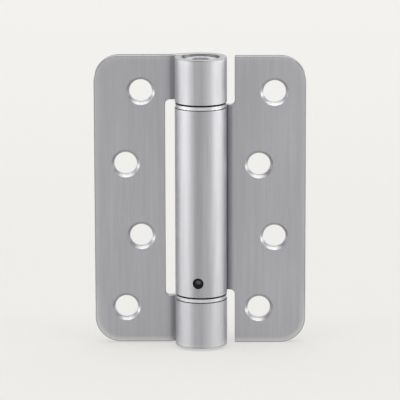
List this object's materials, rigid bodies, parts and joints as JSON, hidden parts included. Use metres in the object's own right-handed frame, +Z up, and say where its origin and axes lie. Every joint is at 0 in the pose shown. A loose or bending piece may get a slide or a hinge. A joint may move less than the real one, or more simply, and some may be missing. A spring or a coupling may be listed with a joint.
{
  "type": "spring hinge",
  "caption": "Self-closing butt hinge in satin steel with rounded leaves, staggered countersunk holes and an adjustable torsion spring in its thick rolled barrel.",
  "frame": {"origin": "on the pin axis, midway between the knuckle leaf's top and the barrel leaf's bottom", "axes": "+Z up the pin axis towards the adjuster's socket; +X from the pin to the barrel leaf, open flat; +Y out of the leaves' backs, so that the countersunk front faces -Y"},
  "size_m": [0.0734, 0.018, 0.102],
  "materials": {
    "satin_steel": "stainless, brushed lengthwise to a soft satin",
    "polished_steel": "bright polished",
    "turned_steel": "plain turned steel, fine rings",
    "spring_steel": "oiled spring steel, dull",
    "black_steel": "black oxide, slightly glossy"
  },
  "bodies": {
    "frame_leaf": {"knuckle_leaf": "satin_steel", "upper_spring_seat": "turned_steel", "lower_pivot_plug": "turned_steel", "torsion_spring": "spring_steel", "bottom_cap": "satin_steel"},
    "door_leaf": {"barrel_leaf": "satin_steel", "upper_thrust_ring": "polished_steel", "lower_thrust_ring": "polished_steel"},
    "adjuster": {"adjuster_spindle": "turned_steel", "winding_collar": "turned_steel", "head_washer": "turned_steel", "foot_washer": "turned_steel", "circlip": "spring_steel"},
    "lock_screw": {"lock_screw": "black_steel"}
  },
  "joints": [
    {"name": "leaf_swing", "type": "hinge", "parent": "frame_leaf", "child": "door_leaf", "pos_m": [0, 0, 0], "axis": [0, 0, -1], "range_deg": [0, 180], "stiffness_Nm_per_rad": 0.78, "deforming": ["torsion_spring"]},
    {"name": "adjuster_turn", "type": "hinge", "parent": "door_leaf", "child": "adjuster", "pos_m": [0, 0, 0], "axis": [0, 0, 1], "range_deg": [0, 270]},
    {"name": "lock_screw_back_out", "type": "slide", "parent": "door_leaf", "child": "lock_screw", "axis": [-0.1219, -0.9925, 0], "range_m": [0, 0.0015]}
  ]
}
